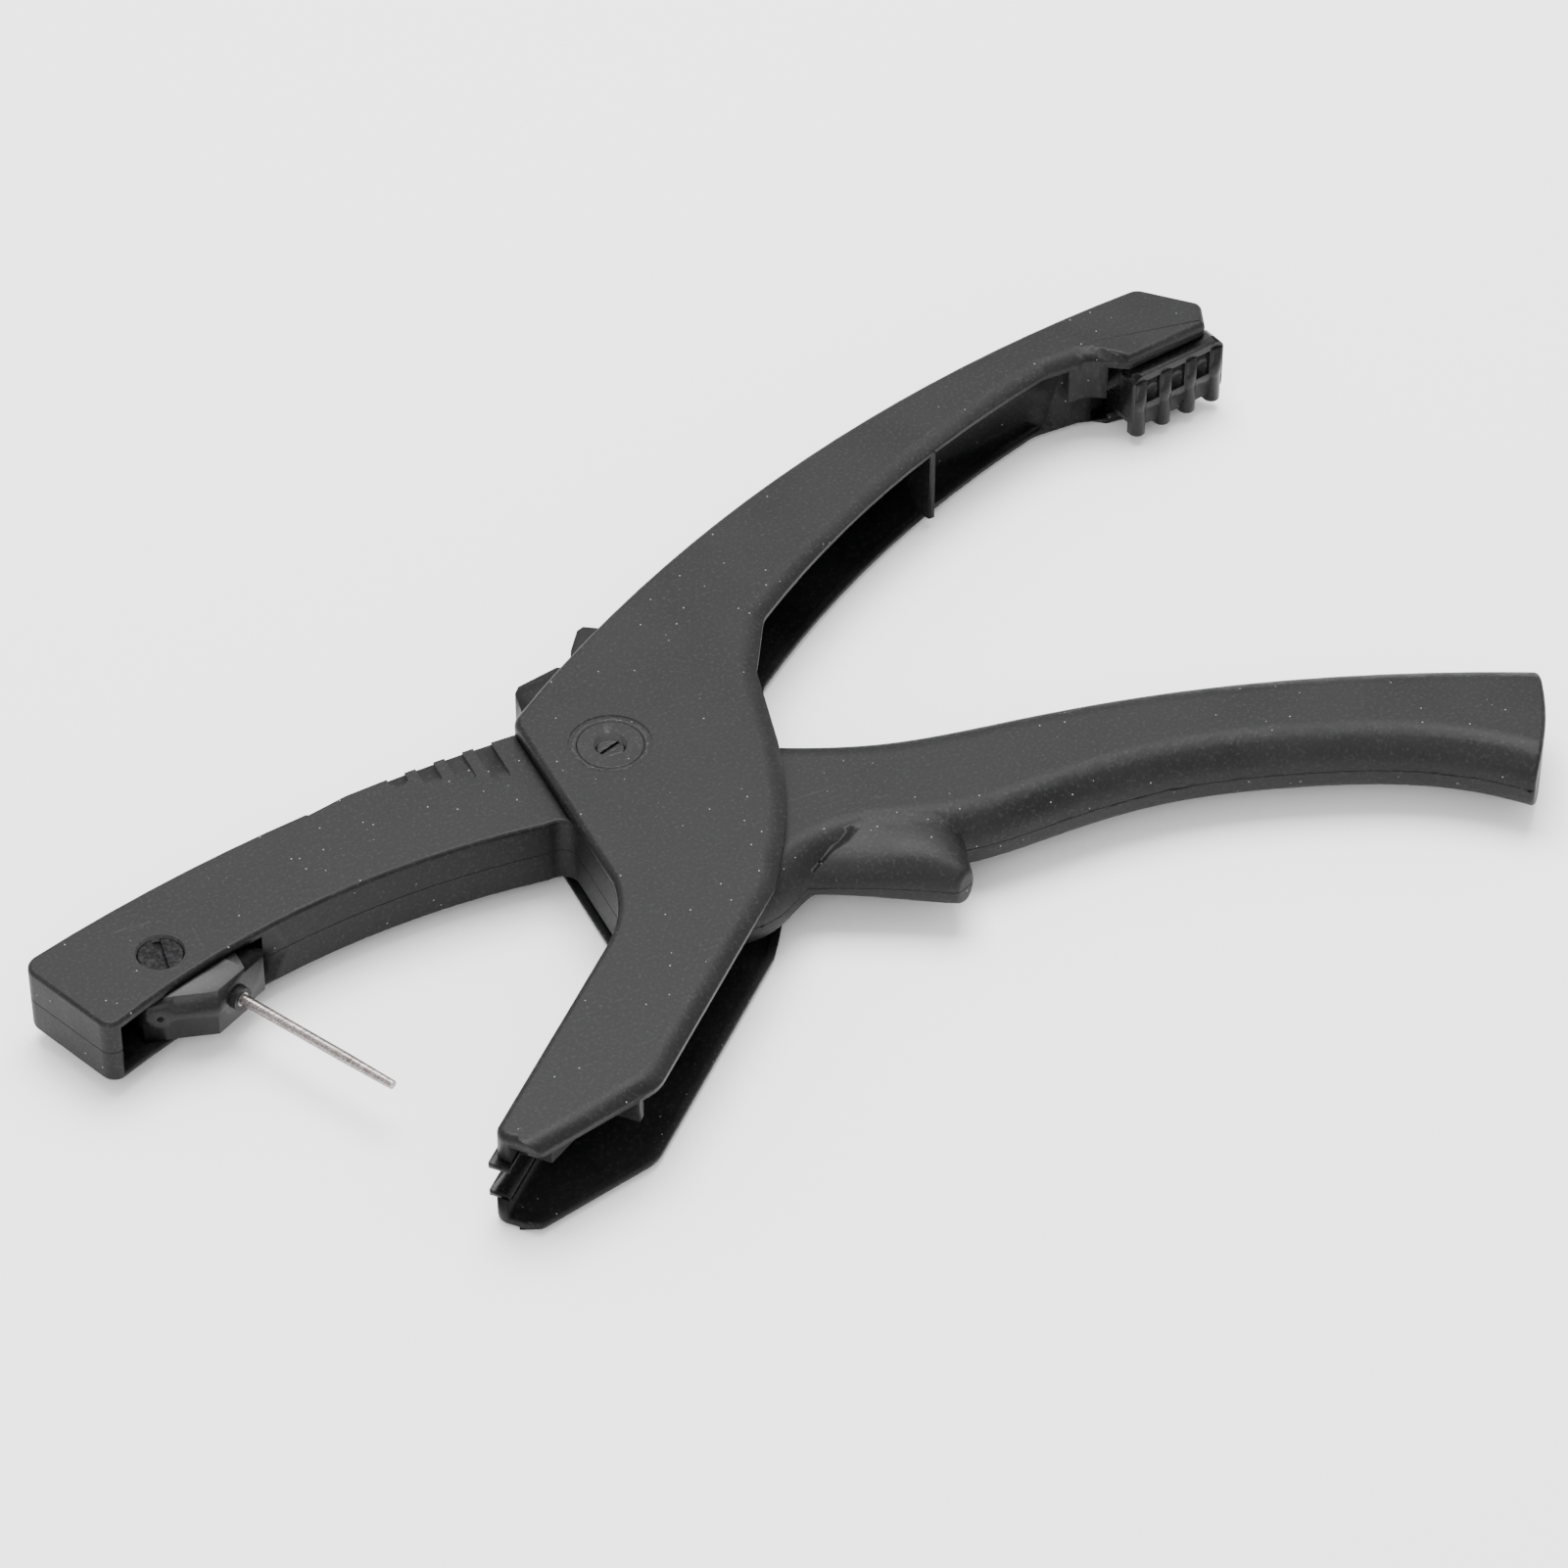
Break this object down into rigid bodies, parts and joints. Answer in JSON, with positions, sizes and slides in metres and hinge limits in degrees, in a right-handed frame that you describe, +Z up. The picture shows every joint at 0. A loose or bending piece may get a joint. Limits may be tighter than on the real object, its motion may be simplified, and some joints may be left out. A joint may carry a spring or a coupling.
{
  "type": "ear tag applicator pliers",
  "caption": "Hand pliers that press an ear tag together: a needle arm turns on a pivot and closes onto a slotted anvil arm, with a thumb slide in one grip.",
  "frame": {"origin": "on the pivot axis, in the plane of the anvil arm's lower face, which the tool lies on", "axes": "+Z up along the pivot axis, +X from the pivot towards the handles, +Y towards the anvil arm's handle; the mouth opens towards -X"},
  "size_m": [0.2635, 0.1551, 0.02],
  "materials": {
    "black_nylon": "matte, fine moulded grain",
    "black_nylon_fine": "satin moulded",
    "glossy_black": "semi-gloss moulded",
    "black_screw": "blackened, satin",
    "dark_steel": "turned",
    "spring_steel": "drawn wire",
    "bright_steel": "ground, bright",
    "brass": "turned",
    "acetal": "natural"
  },
  "bodies": {
    "anvil_arm": {"anvil_arm_body": "black_nylon", "anvil_fork": "glossy_black", "pivot_post": "dark_steel", "pivot_cap": "black_nylon_fine", "pivot_screw": "black_screw", "lower_thrust_washer": "acetal", "upper_thrust_washer": "acetal", "return_spring": "spring_steel", "latch_leaf_spring": "spring_steel"},
    "pin_arm": {"lever_lower_shell": "black_nylon", "lever_upper_shell": "black_nylon", "lever_bush": "brass", "shell_screws": "black_screw", "jaw_screw": "black_screw", "jaw_screw_insert": "brass", "carrier_bush": "dark_steel", "carrier_spring": "spring_steel"},
    "pin_carrier_body": {"pin_carrier": "black_nylon_fine", "applicator_pin": "bright_steel", "pin_collar": "black_screw"},
    "thumb_slide": {"handle_latch": "glossy_black"}
  },
  "joints": [
    {"name": "lever_pivot", "type": "hinge", "parent": "anvil_arm", "child": "pin_arm", "pos_m": [0, 0, 0.01], "axis": [0, 0, 1], "range_deg": [0, 32], "stiffness_Nm_per_rad": 0.6, "springref_deg": -20.05},
    {"name": "carrier_swing", "type": "hinge", "parent": "pin_arm", "child": "pin_carrier_body", "pos_m": [-0.0865, -0.01181, 0.01], "axis": [0, 0, -1], "range_deg": [0, 60], "stiffness_Nm_per_rad": 0.04, "springref_deg": -17.19},
    {"name": "latch_slide", "type": "slide", "parent": "anvil_arm", "child": "thumb_slide", "axis": [-0.9833, -0.1822, 0], "range_m": [0, 0.003]}
  ]
}
